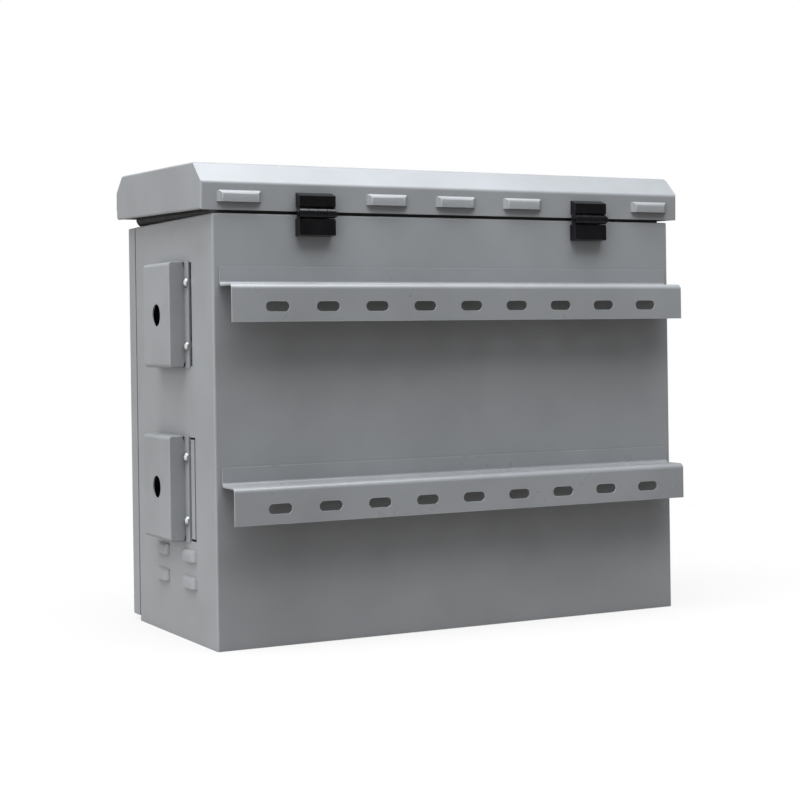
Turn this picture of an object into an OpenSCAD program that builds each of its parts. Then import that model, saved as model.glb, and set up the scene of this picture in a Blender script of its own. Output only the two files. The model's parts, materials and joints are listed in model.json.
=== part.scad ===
// Outdoor battery box: folded sheet-steel case with a hinged vented lid, a front door,
// two slotted mounting rails on its back and two cable hoods on its right side.
// Frame: origin at the middle of the base's underside, +Z up, +Y to the back, +X to the right.

/* [Case] */
// Width of the case
body_w = 600; // [560:5:640]
// Depth from the door's face to the back panel
body_d = 278; // [270:2:300]
// Height of the case
body_h = 474; // [460:2:500]
// Thickness of the case's sheet steel
sheet = 1.5; // [1.2:0.1:1.6]
// Outer radius of the folded edges
fold_r = 2.5; // [2:0.1:3]
// Width of the ledge folded inwards round the top
ledge_w = 25; // [24:0.5:26]

/* [Door] */
// Depth of the door pan
door_d = 24; // [23:0.5:25]
// Gap between the door pan and the case
door_gap = 3; // [2.5:0.1:3.5]
// Height of the door's lower edge above the base
door_z = 5.5; // [4:0.5:8]
// Width of the frame round the door opening
frame_w = 30; // [29:0.5:31]

/* [Lid] */
// How far the lid overhangs each side of the case
lid_side = 13.5; // [12:0.5:16]
// How far the lid's back skirt stands behind the back panel
lid_back = 1.5; // [1:0.1:2]
// How far the lid's front skirt stands in front of the door
lid_front = 4.5; // [4:0.1:5]
// Gap between the case and the lid's lower edge at the back
lid_gap = 2.8; // [2.6:0.1:3.4]
// Height of the lid's upright skirt
skirt_h = 30.5; // [30:0.5:33]
// Rise of the lid's sloped edges
slope_h = 22; // [18:1:26]
// Depth of the lid's sloped edges
slope_d = 24; // [20:1:28]
// Outer radius of the lid's folds
lid_r = 6; // [3:0.5:8]
// Outer radius of the folds round the lid's ends
lid_end_r = 2.5; // [2:0.1:3]
// Angle that the uncompressed seal holds the lid open
lid_lift = 1.4; // [1.2:0.1:1.5]
// Radius of the lid's bulb seal
seal_r = 9; // [8.8:0.1:9.2]

/* [Hinges] */
// Distance of each lid hinge from the case's middle
hinge_x = 180; // [140:5:200]
// Width of a hinge leaf
leaf_w = 44; // [40:1:50]
// Thickness of a hinge at its barrel
leaf_t = 12; // [11.8:0.1:12.2]
// Reach of a leaf from the hinge's axis
leaf_reach = 22.5; // [22:0.5:24]
// Radius of the hinge barrel
barrel_r = 5.5; // [5.4:0.1:5.5]

/* [Rails] */
// Length of each mounting rail
rail_l = 586; // [560:2:590]
// Distance from the back panel to a rail's front face
rail_d = 36.7; // [32:0.5:42]
// Height of a rail, from its lower to its upper edge
rail_h = 60.6; // [56:0.2:66]
// Height of a rail's front flange
rail_front_h = 41.3; // [38:0.1:44]
// Thickness of the rails
rail_t = 2; // [1.5:0.5:2.5]
// Outer radius of the rails' folds
rail_r = 6; // [4:0.5:7]
// Height of the upper rail's lower edge
upper_rail_z = 355.2; // [340:0.1:370]
// Height of the lower rail's lower edge
lower_rail_z = 137.7; // [120:0.1:150]
// Number of slots in each rail
slot_count = 9; // [7:2:9]
// Distance between slots
slot_pitch = 60; // [50:1:64]
// Length of a slot, end to end
slot_l = 28; // [24:1:32]
// Width of a slot
slot_w = 11; // [9:0.5:12]
// Height of the slots above the rail's lower edge
slot_up = 16.5; // [14:0.5:20]

/* [Cable hoods] */
// Width of a cable hood
hood_w = 85.5; // [82:0.5:88]
// Height of a cable hood
hood_h = 118.6; // [112:0.2:122]
// How far a cable hood stands out
hood_d = 20; // [16:1:24]
// Outer radius of a cable hood's folds at its top and bottom
hood_r = 5; // [2:0.5:6]
// Width of a cable hood's screw flanges
flange_w = 12; // [12:0.5:13]
// Radius of the cable hole in each hood
cable_r = 12.75; // [10:0.25:14]
// Distance between the screws of one flange
screw_pitch = 71; // [60:1:80]
// Upper hood's middle, front to back
upper_hood_y = 13.6; // [10:0.2:18]
// Upper hood's middle height
upper_hood_z = 365.5; // [355:0.5:375]
// Lower hood's middle, front to back
lower_hood_y = 7.4; // [4:0.2:12]
// Lower hood's middle height
lower_hood_z = 170.5; // [168:0.5:185]

/* [Louvres] */
// Width of the lid's louvres
louvre_w = 52; // [46:1:56]
// Width of the side walls' louvres
side_louvre_w = 40; // [36:1:52]
// Height of a louvre
louvre_h = 12.5; // [10:0.5:13]
// How far a louvre stands out
louvre_d = 5; // [4.5:0.5:5.5]

/* [Hidden] */
$fn = 48;
eps = 0.01;

back_y = body_d / 2;
face_y = -body_d / 2;
door_back_y = face_y + door_d;
case_y = door_back_y + door_gap;
door_top = body_h - 0.4;
wall_x = body_w / 2;
ledge_z = body_h - sheet;
ledge_x = wall_x - ledge_w;
ledge_back_y = back_y - ledge_w;
ledge_front_y = case_y + ledge_w;

// Door opening, its seal and its locks
open_x = wall_x - frame_w;
open_z = [30, body_h - 28];
frame_y = case_y + sheet;
lip_y = face_y + 15;
seal_gap = 0.4;
door_seal_w = 13;
lock_x = open_x - 26;
lock_z = [130, 350];
lock_r = 11;
rotor_r = 7;
run_gap = 0.06;
cam_y = frame_y + 1;
cam_t = 3;
cam_l = 38;

// Lid: heights before the seal lifts it
lid_z = body_h + lid_gap;
bend_z = lid_z + skirt_h;
top_z = bend_z + slope_h;
lid_x = wall_x + lid_side;
lid_y0 = face_y - lid_front;
lid_y1 = back_y + lid_back;
step_z = lid_z + 11.4;
step_d = 3.5;
liner_z = lid_z + seal_r;
liner_x = lid_x - sheet - 0.1;
liner_y0 = lid_y0 + step_d + sheet + 0.1;
liner_y1 = lid_y1 - sheet - 0.1;
vent_x = 230;
vent_y0 = -45;
vent_y1 = 95;
louvre_z = lid_z + 8.9;
lid_louvre_x = [-271, -90, 0, 89, 269];

// Lid seal: path of the bulb's middle, and the height that its underside rests at
seal_x = wall_x - 4 - seal_r;
seal_y0 = case_y - 20.6 + seal_r;
seal_y1 = back_y - 4 - seal_r;
seal_bend = 6;
seal_rest_z = body_h + 0.3;

// Hinges: axis, knuckles and studs
axis_out = 9.5;
hinge_y = back_y + axis_out;
hinge_z = body_h + 1;
case_reach = leaf_reach + 3;
door_axis_y = (door_back_y + case_y) / 2;
door_hinge_z = [110, 370];
knuckle_l = 11.2;
knuckle_gap = 0.8;
barrel_x0 = 0.2 - 2 * knuckle_l;
pin_r = 2.5;
leaf_gap = 0.7;
stud_x = 13;
stud_r = 2.5;
stud_l = 9;
lid_stud_z = 17.5;
case_stud_z = 16.5;

// Lid bolts and their keepers
bolt_y = -70;
bolt_z = body_h - 24;
bolt_r = 4;
bolt_x = 120;
bolt_l = 57;
guide_x = [132, 168];
guide_t = 2.5;
keeper_x = 181;
keeper_t = 2;
keeper_slot = 6.4;

// Cable hoods: the openings in the wall behind them
duct_w = 60;
duct_h = 80;
cut_h = 116;
upper_cut = [upper_hood_y + hood_w / 2 + flange_w - 0.7, upper_hood_y + 60.5];
lower_cut = [lower_hood_y + hood_w / 2 + flange_w, lower_hood_y + 71.8];
screw_y = hood_w / 2 + 6.1;
insert_r = 4.1;
screw_r = 2.9;
relief_z = hood_h / 2 - 9;

// Equipment plate, battery tray and earth stud
plate_w = 420;
plate_h = 190;
plate_z = 235;
plate_off = 14;
tray_w = 520;
tray_y0 = -85;
tray_d = 180;
tray_h = 22;
tray_z = 14;
runner_h = tray_z - sheet;
runner_x = 190;
earth_x = 262;
earth_z = 45;

grey = [0.60, 0.61, 0.62];
black = [0.08, 0.08, 0.09];
zinc = [0.78, 0.80, 0.82];

// ---- Shared shapes ----

// Rectangle from [x0, y0] to [x1, y1] with its corners rounded
module rounded_rect(x0, y0, x1, y1, r) {
    translate([x0 + r, y0]) square([x1 - x0 - 2 * r, y1 - y0]);
    translate([x0, y0 + r]) square([x1 - x0, y1 - y0 - 2 * r]);
    for (x = [x0 + r, x1 - r], y = [y0 + r, y1 - r]) translate([x, y]) circle(r);
}

// Slot with round ends along X, centred on the origin
module slot_outline(length, width) {
    square([length - width, width], center = true);
    for (s = [-1, 1]) translate([s * (length - width) / 2, 0]) circle(d = width);
}

// Extrusions of an outline drawn in the YZ, XZ and XY planes
module along_x(x0, x1) {
    translate([x0, 0, 0]) rotate([90, 0, 90]) linear_extrude(x1 - x0) children();
}
module along_y(y0, y1) {
    translate([0, y1, 0]) rotate([90, 0, 0]) linear_extrude(y1 - y0) children();
}
module along_z(z0, z1) {
    translate([0, 0, z0]) linear_extrude(z1 - z0) children();
}

// Quarter of a sheet fold, centred on the origin, in the quadrant given by the two signs
module fold(outer, thick, sx, sy) {
    intersection() {
        difference() {
            circle(outer);
            circle(outer - thick);
        }
        translate([sx > 0 ? 0 : -outer, sy > 0 ? 0 : -outer]) square(outer);
    }
}

// Block from low to high with folded edges; r gives the radii of those along X, Y and Z
module folded_block(low, high, r) {
    intersection() {
        along_x(low[0], high[0]) rounded_rect(low[1], low[2], high[1], high[2], r[0]);
        along_y(low[1], high[1]) rounded_rect(low[0], low[2], high[0], high[2], r[1]);
        along_z(low[2], high[2]) rounded_rect(low[0], low[1], high[0], high[1], r[2]);
    }
}

// Pressed louvre standing out along +Y from the plane y = 0, with its mouth at z = 0
module louvre_form(width, inset) {
    end_r = 9;
    w = width / 2 - inset;
    h = louvre_h - inset;
    d = louvre_d - inset;
    in = inset > 0 ? -sheet - 1 : -eps;
    intersection() {
        along_x(-w - 1, w + 1) polygon([
            [in, inset], [d, inset], [d - 0.15, h - 4.2], [d - 1.3, h - 1.9], [d - 3.5, h], [in, h]
        ]);
        along_y(in, d) rounded_rect(-w - 1, -10, w + 1, h, 5 - inset);
        along_z(inset, h) rounded_rect(-w - 1, -20, w + 1, d, end_r - inset);
    }
}
// What is cut away inside a louvre: its hollow and its mouth
module louvre_cut(width) {
    louvre_form(width, 1.1);
    mouth = width / 2 - 8;
    translate([-mouth, 0, -1]) cube([2 * mouth, louvre_d - 1.1, 3]);
}

module hex_nut(across, thick, bore) {
    difference() {
        cylinder(r = across / sqrt(3), h = thick, $fn = 6);
        translate([0, 0, -1]) cylinder(r = bore, h = thick + 2);
    }
}

// Pan-head screw along +Z, with the underside of its head at the origin
module pan_screw(shank_r, shank_l) {
    head_r = 2 * shank_r;
    head_h = 1.6 * shank_r;
    dome_r = 2.3 * shank_r;
    difference() {
        intersection() {
            cylinder(r = head_r, h = head_h);
            translate([0, 0, head_h - dome_r]) sphere(dome_r);
        }
        for (a = [0, 90]) rotate([0, 0, a]) translate([-head_r / 2, -0.5, head_h - 1.6]) cube([head_r, 1, 2]);
    }
    translate([0, 0, -shank_l]) cylinder(r = shank_r, h = shank_l + eps);
}

// Moves a lid piece, drawn closed, to where the seal holds it
module on_lid() {
    translate([0, hinge_y, hinge_z]) rotate([-lid_lift, 0, 0]) translate([0, -hinge_y, -hinge_z]) children();
}

// ---- Hinges: barrel along X, wall in the plane y = 0, leaf along +Z ----

// Knuckle number i of 4
module knuckle(i) {
    translate([barrel_x0 + i * knuckle_l + knuckle_gap / 2, axis_out, 0])
        rotate([0, 90, 0]) cylinder(r = barrel_r, h = knuckle_l - knuckle_gap);
}

// Leaf on a wall at y = base, holding the knuckles numbered in owned; its end tapers
module hinge_leaf(base, owned, stud_z, reach, taper) {
    foot = barrel_r + leaf_gap;
    color(black) difference() {
        union() {
            along_x(-leaf_w / 2, leaf_w / 2) polygon([
                [base, foot], [leaf_t - 1, foot], [leaf_t, foot + 1.4],
                [leaf_t, reach - taper], [base, reach]
            ]);
            for (i = owned) {
                knuckle(i);
                x0 = max(barrel_x0 + i * knuckle_l + knuckle_gap / 2, -leaf_w / 2);
                x1 = min(barrel_x0 + (i + 1) * knuckle_l - knuckle_gap / 2, leaf_w / 2);
                translate([x0, max(base, axis_out - barrel_r), 0])
                    cube([x1 - x0, barrel_r - 0.5, foot + 1]);
            }
            for (s = [-1, 1]) translate([s * stud_x, base + 1, stud_z])
                rotate([90, 0, 0]) cylinder(r = stud_r, h = stud_l + 1);
        }
        translate([-50, axis_out, 0]) rotate([0, 90, 0]) cylinder(r = pin_r + run_gap, h = 100);
    }
}

module hinge_pin() {
    end = barrel_x0 + 4 * knuckle_l;
    color(black) translate([0, axis_out, 0]) rotate([0, 90, 0]) {
        translate([0, 0, barrel_x0 - 2]) cylinder(r = 4, h = 2 - eps);
        translate([0, 0, barrel_x0 - 1]) cylinder(r = pin_r, h = 4 * knuckle_l + 2);
        translate([0, 0, end + 0.1]) cylinder(r = 3.4, h = 1);
    }
}

// Nuts on the studs of one leaf, inside a wall whose outer face is at y = base
module stud_nuts(base, stud_z) {
    for (s = [-1, 1]) translate([s * stud_x, base - sheet - 0.1, stud_z])
        rotate([90, 0, 0]) hex_nut(8, 4, stud_r + 0.1);
}

module stud_holes(base, stud_z) {
    for (s = [-1, 1]) translate([s * stud_x, base + 1, stud_z])
        rotate([90, 0, 0]) cylinder(r = stud_r + 0.25, h = sheet + 2);
}

module at_lid_hinge(side) {
    translate([side * hinge_x, back_y, hinge_z]) children();
}
module at_door_hinge(i) {
    translate([-wall_x, door_axis_y, door_hinge_z[i]]) rotate([0, -90, 90]) children();
}
// The case's leaf points away from the lid or door
module flipped() {
    mirror([0, 0, 1]) children();
}

// ---- Case ----

module wall_outside(inset) {
    r = fold_r - inset;
    folded_block([inset - wall_x, case_y - 40, inset - 40], [wall_x - inset, back_y - inset, body_h - inset],
        [r, r, r]);
}

// Puts a shape drawn against the plane y = 0 on the right or left wall, looking outwards
module on_side(side) {
    translate([side * wall_x, 0, 0]) rotate([0, 0, -90 * side]) children();
}

side_louvres = [for (y = [-27.5, 60], z = [60.5, 90.5]) [y, z]];

module body_shell() {
    color(grey) difference() {
        union() {
            intersection() {
                difference() {
                    wall_outside(0);
                    wall_outside(sheet);
                }
                translate([-wall_x - 1, case_y, 0]) cube([body_w + 2, body_d, body_h]);
            }
            for (side = [-1, 1], p = side_louvres)
                on_side(side) translate([-side * p[0], 0, p[1]]) louvre_form(side_louvre_w, 0);
        }
        for (side = [-1, 1], p = side_louvres)
            on_side(side) translate([-side * p[0], 0, p[1]]) louvre_cut(side_louvre_w);
        translate([-ledge_x, case_y - 1, ledge_z - 5])
            cube([2 * ledge_x, ledge_back_y - case_y + 1, 10]);
        for (h = [[upper_hood_y, upper_hood_z, upper_cut], [lower_hood_y, lower_hood_z, lower_cut]]) {
            translate([wall_x - 5, h[0] - duct_w / 2, h[1] - duct_h / 2]) cube([10, duct_w, duct_h]);
            translate([wall_x - 5, h[2][0], h[1] - cut_h / 2]) cube([10, h[2][1] - h[2][0], cut_h]);
            hood_screw_places(h[0], h[1]) translate([0, 0, -5]) cylinder(r = insert_r + 0.1, h = 10);
        }
        for (side = [-1, 1]) at_lid_hinge(side) flipped() stud_holes(0, case_stud_z);
        for (i = [0, 1]) at_door_hinge(i) flipped() stud_holes(0, case_stud_z);
    }
}

// Flat base with flanges turned up inside the walls
module base_pan() {
    x = wall_x - sheet - 0.1;
    y0 = frame_y + 0.1;
    y1 = back_y - sheet - 0.1;
    color(grey) difference() {
        along_z(0, 18) rounded_rect(-x, y0, x, y1, fold_r);
        along_z(sheet, 20) rounded_rect(sheet - x, y0 + sheet, x - sheet, y1 - sheet, fold_r - sheet);
    }
}

// Ring round the door opening, with a lip that the door's seal presses on
module front_frame() {
    x = wall_x - sheet - 0.1;
    color(grey) difference() {
        union() {
            along_y(case_y, frame_y) rounded_rect(-x, 0, x, ledge_z - 0.1, fold_r);
            along_y(lip_y, case_y + eps)
                translate([-open_x - sheet, open_z[0] - sheet])
                square([2 * (open_x + sheet), open_z[1] - open_z[0] + 2 * sheet]);
        }
        translate([-open_x, lip_y - 1, open_z[0]]) cube([2 * open_x, 40, open_z[1] - open_z[0]]);
    }
}

// Upstand round the top opening, with the ledge along its front
module top_frame() {
    lip = 1.5;
    x = ledge_x - 0.1;
    y0 = ledge_front_y;
    y1 = ledge_back_y - 0.1;
    color(grey) {
        difference() {
            translate([-x, y0, body_h - 12]) cube([2 * x, y1 - y0, 18]);
            translate([lip - x, y0 + lip, body_h - 13]) cube([2 * (x - lip), y1 - y0 - 2 * lip, 20]);
        }
        translate([-x, case_y, ledge_z]) cube([2 * x, y0 - case_y + eps, sheet]);
    }
}

// ---- Mounting rails ----

// Z-shaped section: back flange up, web outwards, front flange down
module rail_section() {
    front = rail_d;
    web = rail_front_h;
    r = rail_r;
    t = rail_t;
    translate([0, web - t + r]) square([t, rail_h - web + t - r]);
    translate([r, web - t + r]) fold(r, t, -1, -1);
    translate([r, web - t]) square([front - 2 * r, t]);
    translate([front - r, web - r]) fold(r, t, 1, 1);
    translate([front - t, 0]) square([t, web - r]);
}

module rail(z) {
    color(grey) translate([0, back_y, z]) difference() {
        along_x(-rail_l / 2, rail_l / 2) rail_section();
        for (i = [0:slot_count - 1]) translate([(i - (slot_count - 1) / 2) * slot_pitch, 0, slot_up])
            along_y(rail_d - rail_t - 2, rail_d + 2) slot_outline(slot_l, slot_w);
    }
}
module upper_rail() rail(upper_rail_z);
module lower_rail() rail(lower_rail_z);

// ---- Cable hoods ----

// Places a shape drawn along +Z at each of a hood's four screws
module hood_screw_places(y, z) {
    for (sy = [-1, 1], sz = [-1, 1])
        translate([wall_x, y + sy * screw_y, z + sz * screw_pitch / 2]) rotate([0, 90, 0]) children();
}

module cable_hood(y, z) {
    t = sheet;
    color(grey) difference() {
        union() {
            intersection() {
                translate([0, y, z]) folded_block(
                    [wall_x - 20, -hood_w / 2, -hood_h / 2], [wall_x + hood_d, hood_w / 2, hood_h / 2],
                    [1.5, hood_r, 1.5]);
                translate([wall_x, y - hood_w, z - hood_h]) cube([hood_d + 1, 2 * hood_w, 2 * hood_h]);
            }
            translate([wall_x, y - hood_w / 2 - flange_w, z - hood_h / 2])
                cube([t, hood_w + 2 * flange_w, hood_h]);
        }
        translate([wall_x - 1, y - hood_w / 2 + t, z - hood_h / 2 + t])
            cube([hood_d - t + 1, hood_w - 2 * t, hood_h - 2 * t]);
        translate([wall_x, y, z]) rotate([0, 90, 0]) cylinder(r = cable_r, h = hood_d + 5);
        hood_screw_places(y, z) translate([0, 0, -1]) cylinder(r = screw_r + 0.3, h = 5);
        for (sy = [-1, 1], up = [0, 1]) translate([wall_x + t, y + sy * hood_w / 2, z]) mirror([0, 0, up])
            along_y(-t - 0.5, t + 0.5) polygon([[0, relief_z], [3.2, hood_h / 2 + 1], [0, hood_h / 2 + 1]]);
    }
}
module upper_cable_hood() cable_hood(upper_hood_y, upper_hood_z);
module lower_cable_hood() cable_hood(lower_hood_y, lower_hood_z);

module hood_screws(y, z) {
    color(zinc) hood_screw_places(y, z) translate([0, 0, sheet]) pan_screw(screw_r, 9);
}
module upper_hood_screws() hood_screws(upper_hood_y, upper_hood_z);
module lower_hood_screws() hood_screws(lower_hood_y, lower_hood_z);

// Threaded inserts set in the wall behind the hood screws
module hood_rivet_nuts() {
    color(zinc) for (h = [[upper_hood_y, upper_hood_z], [lower_hood_y, lower_hood_z]])
        hood_screw_places(h[0], h[1]) difference() {
            union() {
                translate([0, 0, -7.5]) cylinder(r = insert_r, h = 7.5 - 0.05);
                translate([0, 0, -sheet - 2.6]) cylinder(r = 5.2, h = 2.5);
            }
            translate([0, 0, -10]) cylinder(r = screw_r + 0.05, h = 12);
        }
}

// Folded tray inside the wall behind a slot, set back by depth, with an optional rib in the slot
module slot_cover(cut, z, depth, rib) {
    h = cut_h / 2 + 5;
    x0 = wall_x - sheet - 0.1 - depth;
    color(grey) difference() {
        translate([x0 - 1.2, cut[0] - 13.4, z - h]) cube([depth + 1.2, cut[1] - cut[0] + 20.4, 2 * h]);
        translate([x0, cut[0] - 12.2, z - h + 1.2])
            cube([depth + 1, cut[1] - cut[0] + 18, 2 * h - 2.4]);
    }
    if (rib) color(grey) translate([x0 - eps, cut[0] + 2.8, z - cut_h / 2 + 2.5])
        cube([depth + sheet + 0.1, 10.2, cut_h - 5]);
}
module upper_slot_cover() slot_cover(upper_cut, upper_hood_z, 9, false);
module lower_slot_cover() slot_cover(lower_cut, lower_hood_z, 9, true);

// ---- Hinge pieces fixed to the case ----

module lid_hinge_base(side) {
    at_lid_hinge(side) flipped() hinge_leaf(0, [1, 3], case_stud_z, case_reach, 1);
}
module right_lid_hinge_base() lid_hinge_base(1);
module left_lid_hinge_base() lid_hinge_base(-1);
module right_lid_hinge_pin() at_lid_hinge(1) hinge_pin();
module left_lid_hinge_pin() at_lid_hinge(-1) hinge_pin();
module lid_hinge_base_nuts() {
    color(zinc) for (side = [-1, 1]) at_lid_hinge(side) flipped() stud_nuts(0, case_stud_z);
}

module door_hinge_base(i) {
    at_door_hinge(i) flipped() hinge_leaf(0, [1, 3], case_stud_z, case_reach, 1);
}
module upper_door_hinge_base() door_hinge_base(1);
module lower_door_hinge_base() door_hinge_base(0);
module upper_door_hinge_pin() at_door_hinge(1) hinge_pin();
module lower_door_hinge_pin() at_door_hinge(0) hinge_pin();
module door_hinge_base_nuts() {
    color(zinc) for (i = [0, 1]) at_door_hinge(i) flipped() stud_nuts(0, case_stud_z);
}

// ---- Lid bolts ----

// Bracket on the back of the front frame, with two ears that the bolt slides in
module bolt_guide() {
    back = frame_y + 0.1;
    color(zinc) difference() {
        union() {
            translate([guide_x[0], back, bolt_z - 9]) cube([guide_x[1] - guide_x[0] + guide_t, 2, 20]);
            for (x = guide_x) translate([x, back, bolt_z - 8]) cube([guide_t, bolt_y + 8 - back, 16]);
        }
        translate([guide_x[0] - 5, bolt_y, bolt_z]) rotate([0, 90, 0])
            cylinder(r = bolt_r + run_gap, h = 60);
    }
}
module right_bolt_guide() bolt_guide();
module left_bolt_guide() mirror([1, 0, 0]) bolt_guide();

// Round bolt, drawn back, with a finger pin between the guide's ears
module lid_bolt() {
    color(zinc) {
        translate([bolt_x, bolt_y, bolt_z]) rotate([0, 90, 0]) cylinder(r = bolt_r, h = bolt_l);
        translate([guide_x[0] + 9, bolt_y, bolt_z - 24]) cylinder(r = 2.5, h = 24);
        translate([guide_x[0] + 9, bolt_y, bolt_z - 26]) sphere(4.5);
    }
}
module right_lid_bolt() lid_bolt();
module left_lid_bolt() mirror([1, 0, 0]) lid_bolt();

// Hanging bracket on the lid, with a slot long enough for the seal's travel
module keeper() {
    low = bolt_z - keeper_slot - bolt_r - 6;
    color(zinc) on_lid() difference() {
        union() {
            translate([keeper_x, bolt_y - 11, low]) cube([keeper_t, 22, liner_z - 0.1 - low]);
            translate([keeper_x, bolt_y - 11, liner_z - 0.1 - 2]) cube([22, 22, 2]);
        }
        translate([keeper_x - 1, bolt_y - bolt_r - 1.3, bolt_z - keeper_slot - bolt_r - 1.5])
            cube([5, 2 * bolt_r + 2.6, keeper_slot + 2 * bolt_r + 2.5]);
    }
}
module right_keeper() keeper();
module left_keeper() mirror([1, 0, 0]) keeper();

// ---- Inside fittings ----

module plate_places() {
    for (x = [-1, 1] * (plate_w / 2 - 20), z = [plate_z + 20, plate_z + plate_h - 20])
        translate([x, back_y - sheet, z]) rotate([90, 0, 0]) children();
}
module equipment_plate() {
    color(zinc) difference() {
        translate([-plate_w / 2, back_y - sheet - plate_off - 1.5, plate_z]) cube([plate_w, 1.5, plate_h]);
        plate_places() cylinder(r = 3.2, h = plate_off + 5);
    }
}
// Welded studs with a shoulder that holds the plate off the back panel
module plate_studs() {
    color(zinc) plate_places() {
        translate([0, 0, 0.05]) cylinder(r = 6, h = plate_off - 0.1);
        cylinder(r = 3, h = plate_off + 11);
    }
}
module plate_nuts() {
    color(zinc) plate_places() translate([0, 0, plate_off + 1.6]) hex_nut(10, 5, 3.1);
}

// Folded tray that the battery stands in
module battery_tray() {
    color(grey) difference() {
        translate([-tray_w / 2, tray_y0, tray_z]) cube([tray_w, tray_d, tray_h]);
        translate([sheet - tray_w / 2, tray_y0 + sheet, tray_z + sheet])
            cube([tray_w - 2 * sheet, tray_d - 2 * sheet, tray_h]);
    }
}
// Hat-section runners that hold the tray off the base
module tray_runners() {
    color(grey) for (s = [-1, 1]) translate([s * runner_x, tray_y0 + 5, sheet + 0.05]) rotate([-90, 0, 0])
        linear_extrude(tray_d - 10) mirror([0, 1]) difference() {
            union() {
                translate([-30, 0]) square([60, sheet]);
                translate([-16, 0]) square([32, runner_h - 0.1]);
            }
            translate([-16 + sheet, -1]) square([32 - 2 * sheet, runner_h - sheet + 0.9]);
        }
}
// Rubber strips under the battery
module tray_pads() {
    color(black) for (s = [-1, 1])
        translate([s * 130 - 15, tray_y0 + 10, tray_z + sheet]) cube([30, tray_d - 20, 4]);
}
module earth_stud() {
    color(zinc) translate([earth_x, back_y - sheet - 0.05, earth_z]) rotate([90, 0, 0]) {
        cylinder(r = 8, h = 2);
        cylinder(r = 4, h = 25);
    }
}
module earth_nut() {
    color(zinc) translate([earth_x, back_y - sheet - 2.1, earth_z]) rotate([90, 0, 0]) {
        difference() {
            cylinder(r = 8.5, h = 1.6);
            translate([0, 0, -1]) cylinder(r = 4.1, h = 4);
        }
        translate([0, 0, 1.6]) hex_nut(13, 6.5, 4.1);
    }
}

// ---- Lid ----

// Outline of the lid's section: y across, z up; the front skirt's lower part steps in
module lid_outline(inset) {
    a = atan2(slope_h, slope_d);
    r = lid_r - inset;
    y0 = lid_y0 + inset;
    y1 = lid_y1 - inset;
    low = inset > 0 ? lid_z - 5 : lid_z;
    bend_y = lid_r;
    bend_c = bend_z - lid_r * tan((90 - a) / 2);
    top_y = slope_d + lid_r * tan(a / 2);
    top_c = top_z - lid_r;
    difference() {
        union() {
            polygon([
                [y0, bend_c], [y0, step_z - inset], [y0 + step_d, step_z - inset], [y0 + step_d, low],
                [y1, low], [y1, bend_c],
                [lid_y1 - bend_y + r * sin(a), bend_c + r * cos(a)],
                [lid_y1 - top_y + r * sin(a), top_c + r * cos(a)],
                [lid_y1 - top_y, top_c + r], [lid_y0 + top_y, top_c + r],
                [lid_y0 + top_y - r * sin(a), top_c + r * cos(a)],
                [lid_y0 + bend_y - r * sin(a), bend_c + r * cos(a)]
            ]);
            for (y = [lid_y0 + bend_y, lid_y1 - bend_y]) translate([y, bend_c]) circle(r);
            for (y = [lid_y0 + top_y, lid_y1 - top_y]) translate([y, top_c]) circle(r);
        }
        if (inset == 0) translate([lid_y0 + step_d, lid_z]) difference() {
            translate([-1, -1]) square(6);
            translate([5, 5]) circle(5);
        }
    }
}

module lid_shell() {
    color(grey) on_lid() difference() {
        union() {
            difference() {
                intersection() {
                    along_x(-lid_x, lid_x) lid_outline(0);
                    along_y(lid_y0 - 1, lid_y1 + 1) rounded_rect(-lid_x, lid_z, lid_x, top_z, lid_end_r);
                    along_z(lid_z - 1, top_z + 1) rounded_rect(-lid_x, lid_y0, lid_x, lid_y1, lid_end_r);
                }
                along_x(sheet - lid_x, lid_x - sheet) lid_outline(sheet);
            }
            for (x = lid_louvre_x) {
                translate([x, lid_y1, louvre_z]) louvre_form(louvre_w, 0);
                translate([x, lid_y0, louvre_z + 3]) mirror([0, 1, 0]) louvre_form(louvre_w, 0);
            }
        }
        for (x = lid_louvre_x) {
            translate([x, lid_y1, louvre_z]) louvre_cut(louvre_w);
            translate([x, lid_y0, louvre_z + 3]) mirror([0, 1, 0]) louvre_cut(louvre_w);
        }
        for (side = [-1, 1]) at_lid_hinge(side) stud_holes(lid_back, lid_stud_z);
    }
}

// Flat ring inside the lid that carries the seal
module lid_liner() {
    t = 1.5;
    color(grey) on_lid() difference() {
        translate([-liner_x, liner_y0, liner_z - 8]) cube([2 * liner_x, liner_y1 - liner_y0, 8 + t]);
        translate([t - liner_x, liner_y0 + t, liner_z - 9])
            cube([2 * (liner_x - t), liner_y1 - liner_y0 - 2 * t, 9]);
        translate([-vent_x, vent_y0, liner_z - 5]) cube([2 * vent_x, vent_y1 - vent_y0, 10]);
    }
}

// Slotted sheet over the liner's opening
module vent_screen() {
    z = liner_z + 1.5;
    cols = 18;
    rows = 4;
    color(zinc) on_lid() difference() {
        translate([-vent_x - 10, vent_y0 - 10, z]) cube([2 * vent_x + 20, vent_y1 - vent_y0 + 20, 1]);
        for (i = [0:cols - 1], j = [0:rows - 1])
            translate([(i - (cols - 1) / 2) * 24.5, vent_y0 + 20 + j * 33.5, z - 1])
                translate([-9, -2.5, 0]) cube([18, 5, 3]);
    }
}

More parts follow.
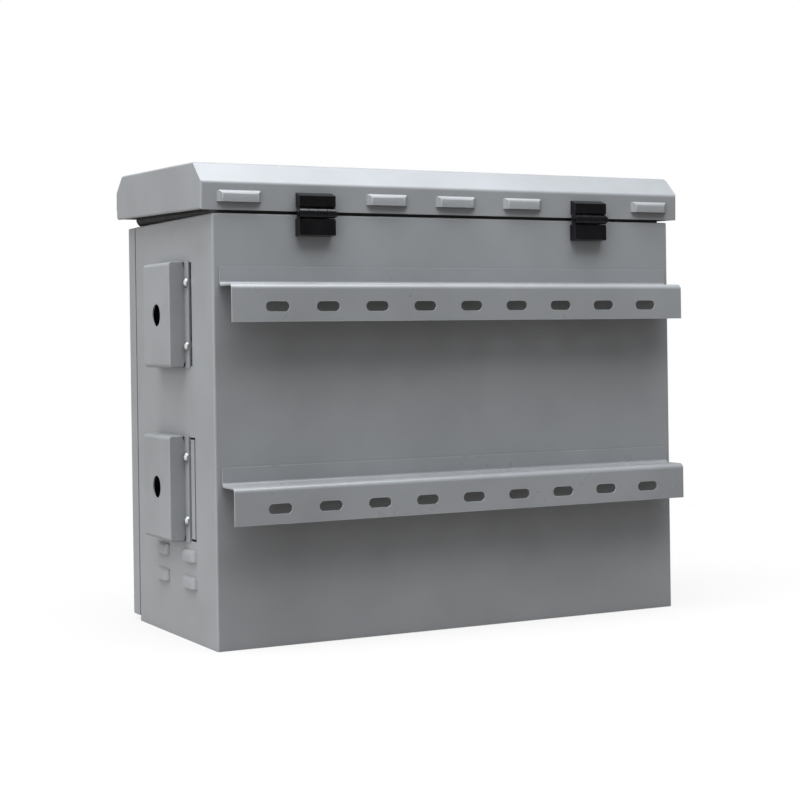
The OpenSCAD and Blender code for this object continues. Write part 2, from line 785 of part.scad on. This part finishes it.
// Bulb seal in a ring: flat on the liner, and squashed level where it rests on the case
module lid_seal() {
    x = seal_x - seal_bend;
    y0 = seal_y0 + seal_bend;
    y1 = seal_y1 - seal_bend;
    color(black) difference() {
        on_lid() difference() {
            translate([0, 0, lid_z]) {
                for (s = [-1, 1]) translate([s * seal_x, y0, 0]) rotate([-90, 0, 0])
                    cylinder(r = seal_r, h = y1 - y0);
                for (y = [seal_y0, seal_y1]) translate([-x, y, 0]) rotate([0, 90, 0])
                    cylinder(r = seal_r, h = 2 * x);
                for (c = [[x, y1, 0], [-x, y1, 90], [-x, y0, 180], [x, y0, 270]])
                    translate([c[0], c[1], 0]) rotate([0, 0, c[2]])
                        rotate_extrude(angle = 90) intersection() {
                            translate([seal_bend, 0]) circle(seal_r);
                            translate([0, -seal_r]) square([20, 2 * seal_r]);
                        }
            }
            translate([-400, -200, liner_z - 0.1]) cube([800, 400, 20]);
        }
        translate([-400, -200, seal_rest_z - 50]) cube([800, 400, 50]);
    }
}

module lid_hinge_leaf(side) {
    on_lid() at_lid_hinge(side) hinge_leaf(lid_back, [0, 2], lid_stud_z, leaf_reach, 3.6);
}
module right_lid_hinge_leaf() lid_hinge_leaf(1);
module left_lid_hinge_leaf() lid_hinge_leaf(-1);
module lid_hinge_leaf_nuts() {
    color(zinc) on_lid() for (side = [-1, 1]) at_lid_hinge(side) stud_nuts(lid_back, lid_stud_z);
}

// ---- Door ----

module door_panel() {
    low = [-wall_x, face_y, door_z];
    high = [wall_x, door_back_y, door_top];
    t = [sheet, sheet, sheet];
    lip = [12, 0, 12];
    color(grey) difference() {
        intersection() {
            folded_block(low, high + [0, 20, 0], [fold_r, fold_r, fold_r]);
            translate(low - [1, 1, 1]) cube([body_w + 2, door_d + 1, body_h + 2]);
        }
        translate(low + t) cube([body_w - 2 * sheet, door_d - 2 * sheet, door_top - door_z - 2 * sheet]);
        translate(low + t + lip + [0, door_d - 5, 0])
            cube([body_w - 2 * sheet - 24, 20, door_top - door_z - 2 * sheet - 24]);
        for (z = lock_z) translate([lock_x, face_y - 1, z]) rotate([-90, 0, 0])
            cylinder(r = lock_r + 0.2, h = 5);
        for (i = [0, 1]) at_door_hinge(i) stud_holes(0, case_stud_z);
    }
}

// Square rubber strip that meets the lip of the front frame
module door_seal() {
    y0 = face_y + sheet + 0.05;
    x = open_x + sheet / 2;
    z0 = open_z[0] - sheet / 2;
    z1 = open_z[1] + sheet / 2;
    w = door_seal_w / 2;
    color(black) along_y(y0, lip_y - seal_gap) difference() {
        translate([-x - w, z0 - w]) square([2 * (x + w), z1 - z0 + 2 * w]);
        translate([w - x, z0 + w]) square([2 * (x - w), z1 - z0 - 2 * w]);
    }
}

// Hat-section stiffener down the middle of the door
module door_stiffener() {
    y0 = face_y + sheet + 0.05;
    color(grey) along_z(45, 430) difference() {
        union() {
            translate([-35, y0]) square([70, sheet]);
            translate([-18, y0]) square([36, 12]);
        }
        translate([sheet - 18, y0 - 1]) square([36 - 2 * sheet, 13 - sheet]);
    }
}

module upper_door_hinge_leaf() at_door_hinge(1) hinge_leaf(0, [0, 2], case_stud_z, leaf_reach, 3.6);
module lower_door_hinge_leaf() at_door_hinge(0) hinge_leaf(0, [0, 2], case_stud_z, leaf_reach, 3.6);
module door_hinge_leaf_nuts() {
    color(zinc) for (i = [0, 1]) at_door_hinge(i) stud_nuts(0, case_stud_z);
}

// ---- Locks: drawn along +Z, with the door's face at z = 0 and the inside at +z ----

module at_lock(i) {
    translate([lock_x, face_y, lock_z[i]]) rotate([-90, 0, 0]) children();
}
lock_back = cam_y - face_y - 1;

module lock_body(i) {
    color(black) at_lock(i) difference() {
        union() {
            translate([0, 0, -2.5]) cylinder(r = 14.5, h = 2.45);
            translate([0, 0, -1]) cylinder(r = lock_r, h = lock_back + 1);
        }
        translate([0, 0, -10]) cylinder(r = rotor_r + run_gap, h = 60);
    }
}
module upper_lock_body() lock_body(1);
module lower_lock_body() lock_body(0);

module lock_nuts() {
    color(zinc) for (i = [0, 1]) at_lock(i) translate([0, 0, sheet + 0.05]) hex_nut(27, 5, lock_r + 0.1);
}

// Turning core with a three-sided key stub in its face
module lock_rotor(i) {
    color(zinc) at_lock(i) {
        difference() {
            translate([0, 0, -2.3]) cylinder(r = rotor_r, h = lock_back + 2.6);
            translate([0, 0, -3]) difference() {
                cylinder(r = 5.4, h = 6);
                cylinder(r = 4.2, h = 7, $fn = 3);
            }
        }
        translate([0, 0, lock_back]) intersection() {
            cylinder(r = 5, h = 8);
            translate([-3.5, -5, 0]) cube([7, 10, 8]);
        }
    }
}
module upper_lock_rotor() lock_rotor(1);
module lower_lock_rotor() lock_rotor(0);

// Flat cam that hangs down when the lock is open
module lock_cam(i) {
    color(zinc) at_lock(i) translate([0, 0, lock_back + 0.7]) difference() {
        union() {
            cylinder(r = 9, h = cam_t);
            translate([-9, 0, 0]) cube([18, cam_l, cam_t]);
        }
        translate([-3.6, -5.1, -1]) cube([7.2, 10.2, cam_t + 2]);
    }
}
module upper_lock_cam() lock_cam(1);
module lower_lock_cam() lock_cam(0);

body_shell();
base_pan();
front_frame();
top_frame();
upper_rail();
lower_rail();
upper_cable_hood();
lower_cable_hood();
upper_hood_screws();
lower_hood_screws();
hood_rivet_nuts();
upper_slot_cover();
lower_slot_cover();
right_lid_hinge_base();
left_lid_hinge_base();
right_lid_hinge_pin();
left_lid_hinge_pin();
lid_hinge_base_nuts();
upper_door_hinge_base();
lower_door_hinge_base();
upper_door_hinge_pin();
lower_door_hinge_pin();
door_hinge_base_nuts();
right_bolt_guide();
left_bolt_guide();
equipment_plate();
plate_studs();
plate_nuts();
battery_tray();
tray_runners();
tray_pads();
earth_stud();
earth_nut();
lid_shell();
lid_liner();
lid_seal();
vent_screen();
right_lid_hinge_leaf();
left_lid_hinge_leaf();
lid_hinge_leaf_nuts();
right_keeper();
left_keeper();
right_lid_bolt();
left_lid_bolt();
door_panel();
door_seal();
door_stiffener();
upper_door_hinge_leaf();
lower_door_hinge_leaf();
door_hinge_leaf_nuts();
upper_lock_body();
lower_lock_body();
lock_nuts();
upper_lock_rotor();
lower_lock_rotor();
upper_lock_cam();
lower_lock_cam();
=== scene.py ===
"""Outdoor battery box seen from behind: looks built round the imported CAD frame."""

import math
import json

import bpy
from mathutils import Matrix, Vector

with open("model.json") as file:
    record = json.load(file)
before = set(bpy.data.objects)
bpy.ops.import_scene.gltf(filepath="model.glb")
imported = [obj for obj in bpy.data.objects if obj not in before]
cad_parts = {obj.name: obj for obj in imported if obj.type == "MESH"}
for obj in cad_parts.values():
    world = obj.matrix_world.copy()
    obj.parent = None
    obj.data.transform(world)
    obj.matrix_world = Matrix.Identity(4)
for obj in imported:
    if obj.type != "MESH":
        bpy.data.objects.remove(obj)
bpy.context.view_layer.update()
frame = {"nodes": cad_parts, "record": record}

NODES = frame["nodes"]
SLOT_OF = {part["node"]: part["material_slot"] for part in frame["record"]["subparts"]}
scene = bpy.context.scene


# ---- Node trees ----


def scaled(colour, gain):
    """The colour made lighter or darker, and no brighter than white."""
    return tuple(min(1.0, channel * gain) for channel in colour)


class Graph:
    """Builds one material's node tree, with short calls for the nodes used here."""

    def __init__(self, name):
        self.material = bpy.data.materials.new(name)
        self.material.use_nodes = True
        self.tree = self.material.node_tree
        self.tree.nodes.clear()
        self.output = self.add("ShaderNodeOutputMaterial")
        self.shader = self.add("ShaderNodeBsdfPrincipled")
        self.link(self.shader.outputs[0], self.output.inputs["Surface"])
        self.place = self.add("ShaderNodeTexCoord").outputs["Object"]

    def add(self, kind, **settings):
        node = self.tree.nodes.new(kind)
        for key, value in settings.items():
            setattr(node, key, value)
        return node

    def link(self, source, target):
        self.tree.links.new(source, target)

    def feed(self, value, socket):
        """Gives a socket its value: another node's output, a colour or a number."""
        if isinstance(value, bpy.types.NodeSocket):
            self.link(value, socket)
        elif isinstance(value, tuple):
            socket.default_value = value + (1.0,)
        else:
            socket.default_value = value

    def noise(self, scale, detail=2.0, rough=0.5, stretch=None):
        """Noise with scale features to the metre."""
        node = self.add("ShaderNodeTexNoise")
        node.inputs["Scale"].default_value = scale
        node.inputs["Detail"].default_value = detail
        node.inputs["Roughness"].default_value = rough
        place = self.place
        if stretch:
            mapping = self.add("ShaderNodeMapping")
            mapping.inputs["Scale"].default_value = stretch
            self.link(place, mapping.inputs["Vector"])
            place = mapping.outputs[0]
        self.link(place, node.inputs["Vector"])
        return node.outputs[0]

    def spread(self, value, low, high, to_low=0.0, to_high=1.0, curve="LINEAR"):
        """value's range low to high, clamped, becomes to_low to to_high."""
        node = self.add("ShaderNodeMapRange", interpolation_type=curve)
        limits = (("From Min", low), ("From Max", high), ("To Min", to_low), ("To Max", to_high))
        for name, number in limits:
            node.inputs[name].default_value = number
        self.link(value, node.inputs["Value"])
        return node.outputs[0]

    def times(self, a, b):
        node = self.add("ShaderNodeMath", operation="MULTIPLY")
        for socket, value in zip(node.inputs, (a, b)):
            self.feed(value, socket)
        return node.outputs[0]

    def mix(self, share, a, b):
        """Colour a where share is 0 and colour b where it is 1."""
        node = self.add("ShaderNodeMix", data_type="RGBA", blend_type="MIX")
        for name, value in (("Factor", share), ("A", a), ("B", b)):
            socket = [s for s in node.inputs if s.name == name and s.enabled][0]
            self.feed(value, socket)
        return [s for s in node.outputs if s.enabled][0]

    def bump(self, height, strength, distance, under=None):
        node = self.add("ShaderNodeBump")
        node.inputs["Strength"].default_value = strength
        node.inputs["Distance"].default_value = distance
        self.link(height, node.inputs["Height"])
        if under is not None:
            self.link(under, node.inputs["Normal"])
        return node.outputs[0]

    def facing(self, direction, other):
        """Dot product of two directions; other is an output or a fixed vector."""
        dot = self.add("ShaderNodeVectorMath", operation="DOT_PRODUCT")
        self.link(direction, dot.inputs[0])
        self.feed(other, dot.inputs[1])
        return dot.outputs["Value"]

    def edges(self, radius):
        """1 on sharp edges and 0 on flat faces."""
        bevel = self.add("ShaderNodeBevel", samples=4)
        bevel.inputs["Radius"].default_value = radius
        geometry = self.add("ShaderNodeNewGeometry")
        turn = self.facing(bevel.outputs[0], geometry.outputs["Normal"])
        return self.spread(turn, low=0.995, high=0.8)

    def creases(self, distance):
        """0 in tight corners and 1 in the open."""
        node = self.add("ShaderNodeAmbientOcclusion", samples=4)
        node.inputs["Distance"].default_value = distance
        return node.outputs["AO"]

    def set(self, **values):
        """Sets or links the shader's inputs, named with _ for each space."""
        for name, value in values.items():
            self.feed(value, self.shader.inputs[name.replace("_", " ")])


# ---- Materials ----


def powder_coat(name, colour, rough=0.42, rim=0.0007, edge_highlight_gain=1.45):
    """Satin powder coat: fine orange peel, faint mottling, painted shade in corners, painted
    highlight on edges.
    """
    g = Graph(name)
    mottle = g.spread(g.noise(7.0, detail=3.0, rough=0.6), low=0.3, high=0.7)
    body = g.mix(mottle, scaled(colour, 0.90), scaled(colour, 1.09))

    grain = g.spread(g.noise(2600.0, detail=1.0), low=0.25, high=0.75)
    speckle = g.mix(grain, scaled(colour, 0.72), scaled(colour, 1.3))
    body = g.mix(0.10, body, speckle)

    # Smears run down the walls and are a little warmer than the coat
    run = g.noise(5.0, detail=4.0, rough=0.6, stretch=(1.0, 1.0, 0.22))
    smear = g.times(g.spread(run, low=0.52, high=0.78), 0.10)
    red, green, blue = colour
    body = g.mix(smear, body, scaled((red, green * 0.99, blue * 0.96), 0.70))

    # Painted shade: the coat is darkened in corners and creases, where shade falls
    painted_corner_shade = g.spread(g.creases(0.012), low=0.35, high=0.85, to_low=0.30, to_high=0.0)
    body = g.mix(painted_corner_shade, body, scaled(colour, 0.45))

    # Painted highlight: edges are lightened, unevenly along their length
    edge_highlight_mask = g.edges(rim)
    uneven = g.spread(g.noise(60.0, detail=3.0), low=0.35, high=0.65, to_low=0.25, to_high=0.65)
    body = g.mix(g.times(edge_highlight_mask, uneven), body, scaled(colour, edge_highlight_gain))

    sheen = g.noise(18.0, detail=4.0, rough=0.6)
    gloss = g.spread(sheen, low=0.25, high=0.75, to_low=rough - 0.05, to_high=rough + 0.06)
    peel = g.bump(g.noise(620.0, detail=2.0), strength=0.22, distance=0.00025)
    waves = g.bump(g.noise(4.5, detail=1.0), strength=0.35, distance=0.0022, under=peel)
    g.set(Base_Color=body, Roughness=gloss, Normal=waves)
    return g.material


def black_casting(name):
    """Black coated die-cast zinc: fine grain, edges lighter with a painted highlight."""
    g = Graph(name)
    cloud = g.spread(g.noise(90.0, detail=4.0), low=0.3, high=0.7)
    body = g.mix(cloud, (0.003, 0.003, 0.0036), (0.0065, 0.0065, 0.0078))
    # Painted highlight: edges are lightened towards grey, unevenly along their length
    highlit_edge_mask = g.edges(0.0006)
    uneven = g.spread(g.noise(240.0, detail=3.0), low=0.4, high=0.65, to_low=0.10, to_high=0.75)
    body = g.mix(g.times(highlit_edge_mask, uneven), body, (0.10, 0.10, 0.105))
    gloss = g.spread(g.noise(150.0, detail=3.0), low=0.3, high=0.7, to_low=0.15, to_high=0.23)
    cast = g.bump(g.noise(1500.0, detail=2.0), strength=0.03, distance=0.0002)
    g.set(Base_Color=body, Roughness=gloss, Specular_IOR_Level=0.28, Normal=cast)
    return g.material


def rubber(name):
    """Black EPDM with a dusty bloom."""
    g = Graph(name)
    dust = g.noise(40.0, detail=5.0, rough=0.65)
    bloom = g.spread(dust, low=0.42, high=0.72, to_low=0.0, to_high=0.6)
    body = g.mix(bloom, (0.010, 0.010, 0.011), (0.030, 0.030, 0.031))
    gloss = g.spread(g.noise(70.0, detail=3.0), low=0.3, high=0.7, to_low=0.42, to_high=0.6)
    skin = g.bump(g.noise(900.0, detail=3.0), strength=0.3, distance=0.0003)
    g.set(Base_Color=body, Roughness=gloss, Normal=skin)
    return g.material


def plated(name, colour, rough):
    """Zinc-plated steel: cloudy colour, fine scratches, painted highlight on edges."""
    g = Graph(name)
    cloud = g.spread(g.noise(120.0, detail=4.0, rough=0.6), low=0.3, high=0.7)
    body = g.mix(cloud, scaled(colour, 0.82), colour)
    # Painted highlight: edges are brightened towards near white
    body = g.mix(g.times(g.edges(0.0004), 0.5), body, (0.92, 0.92, 0.93))
    scratch = g.noise(300.0, detail=3.0, rough=0.6)
    gloss = g.spread(scratch, low=0.3, high=0.7, to_low=rough - 0.07, to_high=rough + 0.09)
    lines = g.bump(scratch, strength=0.12, distance=0.0001)
    g.set(Base_Color=body, Metallic=1.0, Roughness=gloss, Normal=lines)
    return g.material


def spangled(name):
    """Galvanised sheet with its crystal pattern."""
    g = Graph(name)
    cells = g.add("ShaderNodeTexVoronoi")
    cells.inputs["Scale"].default_value = 110.0
    g.link(g.place, cells.inputs["Vector"])
    shade = g.add("ShaderNodeSeparateColor")
    g.link(cells.outputs["Color"], shade.inputs[0])
    body = g.mix(shade.outputs[0], (0.46, 0.48, 0.50), (0.66, 0.68, 0.70))
    gloss = g.spread(shade.outputs[1], low=0.0, high=1.0, to_low=0.30, to_high=0.46)
    dross = g.bump(g.noise(700.0, detail=2.0), strength=0.1, distance=0.0001)
    g.set(Base_Color=body, Metallic=1.0, Roughness=gloss, Normal=dross)
    return g.material


def floor_paper(name):
    """Matt paper, see-through enough to leave little more than the box's soft shadow."""
    g = Graph(name)
    cloud = g.spread(g.noise(3.0, detail=2.0), low=0.3, high=0.7)
    shade = g.mix(cloud, (0.50, 0.485, 0.475), (0.52, 0.505, 0.495))
    g.set(Base_Color=shade, Roughness=0.9, Specular_IOR_Level=0.1, Alpha=0.2)
    return g.material


GREY = (0.236, 0.243, 0.252)
ZINC = (0.44, 0.45, 0.46)
hinge_black = black_casting("hinge_black")

FINISH = {
    "case_grey": powder_coat("case_powder_coat", GREY),
    "rail_grey": powder_coat("rail_powder_coat", GREY, rough=0.30, rim=0.0012, edge_highlight_gain=2.0),
    "hinge_black": hinge_black,
    "seal_black": rubber("seal_rubber"),
    "zinc": plated("zinc_plate", ZINC, rough=0.34),
    "plate": spangled("galvanised_sheet"),
    "lock_black": hinge_black,
}


# ---- CAD nodes: broken edges and shading ----

WELD_DISTANCE = 1e-6
FLAT_ANGLE = math.radians(0.4)
CORNER_ANGLE = math.radians(35)

# Width of the broken edges on each finish, in metres; the other finishes have none
EDGE_WIDTH = {
    "case_grey": 0.00045,
    "rail_grey": 0.0009,
    "hinge_black": 0.0009,
    "zinc": 0.0002,
    "lock_black": 0.0004,
}


def modify(obj, name, kind, **settings):
    modifier = obj.modifiers.new(name, kind)
    for key, value in settings.items():
        setattr(modifier, key, value)


def break_edges(obj, slot):
    """Merges the CAD mesh's triangles into faces, then rounds or splits its corners."""
    modify(obj, "weld", "WELD", merge_threshold=WELD_DISTANCE)
    # The knuckled hinge leaves keep their triangles: merged, their bevels leave stray flaps
    if slot != "hinge_black":
        modify(obj, "flat", "DECIMATE", decimate_type="DISSOLVE", angle_limit=FLAT_ANGLE)
    if slot in EDGE_WIDTH:
        # Sliding along the merged faces would leave stray faces on the thin sheet parts
        modify(
            obj, "edge", "BEVEL", width=EDGE_WIDTH[slot], segments=2,
            limit_method="ANGLE", angle_limit=CORNER_ANGLE, loop_slide=False,
        )
    else:
        # Without a bevel, smooth shading would run round the corners
        modify(obj, "split", "EDGE_SPLIT", split_angle=CORNER_ANGLE, use_edge_sharp=False)
    for polygon in obj.data.polygons:
        polygon.use_smooth = True
    modify(obj, "shade", "WEIGHTED_NORMAL", keep_sharp=True, weight=100)


for node_name, node_object in NODES.items():
    node_slot = SLOT_OF[node_name]
    node_object.data.materials.clear()
    node_object.data.materials.append(FINISH[node_slot])
    break_edges(node_object, node_slot)


# ---- Floor ----

FLOOR_HALF = 1.1
FLOOR_DROP = 0.0002

floor_mesh = bpy.data.meshes.new("floor")
corner_signs = ((-1, -1), (1, -1), (1, 1), (-1, 1))
floor_corners = [(x * FLOOR_HALF, y * FLOOR_HALF, 0) for x, y in corner_signs]
floor_mesh.from_pydata(floor_corners, [], [(0, 1, 2, 3)])
floor = bpy.data.objects.new("floor", floor_mesh)
floor_mesh.materials.append(floor_paper("floor_paper"))
scene.collection.objects.link(floor)
floor.location.z = -FLOOR_DROP


# ---- Light ----


class Sky(Graph):
    """World tree: light that depends on the direction it comes from."""

    def __init__(self, name):
        self.world = bpy.data.worlds.new(name)
        self.world.use_nodes = True
        self.tree = self.world.node_tree
        self.tree.nodes.clear()
        self.output = self.add("ShaderNodeOutputWorld")
        self.place = self.add("ShaderNodeTexCoord").outputs["Generated"]

    def lobe(self, axis, low, high, power):
        """Soft-edged patch of light round one axis direction."""
        turn = self.facing(self.place, Vector(axis).normalized())
        return self.spread(turn, low, high, to_low=0.0, to_high=power, curve="SMOOTHSTEP")

    def glow(self, strength, tint):
        node = self.add("ShaderNodeBackground")
        self.feed(tint, node.inputs["Color"])
        self.feed(strength, node.inputs["Strength"])
        return node.outputs[0]

    def both(self, a, b):
        node = self.add("ShaderNodeAddShader")
        self.link(a, node.inputs[0])
        self.link(b, node.inputs[1])
        return node.outputs[0]


WHITE = (1.0, 1.0, 1.0)
COOL = (0.95, 0.985, 1.03)
WARM = (1.0, 0.80, 0.64)
FILL = (1.0, 0.985, 0.965)

sky = Sky("studio")
overhead = sky.glow(sky.lobe((0.12, 0.14, 0.97), low=0.74, high=0.88, power=4.6), COOL)
side = sky.glow(sky.lobe((1.0, 0.0, 0.10), low=0.45, high=1.0, power=1.75), WHITE)
ground = sky.glow(sky.lobe((0.0, 0.0, -1.0), low=0.1, high=0.8, power=0.14), WARM)
light = sky.both(sky.both(overhead, side), sky.both(ground, sky.glow(0.18, FILL)))

# The camera sees plain white; everything else is lit by the sky
switch = sky.add("ShaderNodeMixShader")
sky.link(sky.add("ShaderNodeLightPath").outputs["Is Camera Ray"], switch.inputs[0])
sky.link(light, switch.inputs[1])
sky.link(sky.glow(1.0, WHITE), switch.inputs[2])
sky.link(switch.outputs[0], sky.output.inputs[0])
scene.world = sky.world

LAMP_AT = (0.12, 0.42, 1.45)
LAMP_AIM = (0.0, 0.1, 0.4)

lamp_data = bpy.data.lights.new("soft_box", "AREA")
lamp_data.shape = "RECTANGLE"
lamp_data.size = 1.3
lamp_data.size_y = 1.0
lamp_data.energy = 15.0
lamp_data.color = (0.95, 0.985, 1.0)
lamp = bpy.data.objects.new("soft_box", lamp_data)
scene.collection.objects.link(lamp)
lamp.location = LAMP_AT
lamp.rotation_euler = (Vector(LAMP_AIM) - lamp.location).to_track_quat("-Z", "Y").to_euler()


# ---- Camera ----

CAMERA_AT = (0.9887, 1.8946, 0.3338)
CAMERA_FORWARD = (-0.4626, -0.8865, -0.0034)
CAMERA_RIGHT = (-0.8864, 0.4626, -0.0140)

camera_data = bpy.data.cameras.new("camera")
camera = bpy.data.objects.new("camera", camera_data)
scene.collection.objects.link(camera)
scene.camera = camera
forward = Vector(CAMERA_FORWARD).normalized()
right = Vector(CAMERA_RIGHT)
right = (right - right.dot(forward) * forward).normalized()
up = right.cross(forward)
axes = Matrix((right, up, -forward)).transposed().to_4x4()
camera.matrix_world = Matrix.Translation(CAMERA_AT) @ axes
camera_data.sensor_width = 36.0
camera_data.lens = 78.37
camera_data.shift_x = -0.0012
camera_data.shift_y = -0.0677
camera_data.clip_start = 0.05
camera_data.clip_end = 60.0

scene.view_settings.view_transform = "Standard"
scene.view_settings.look = "None"
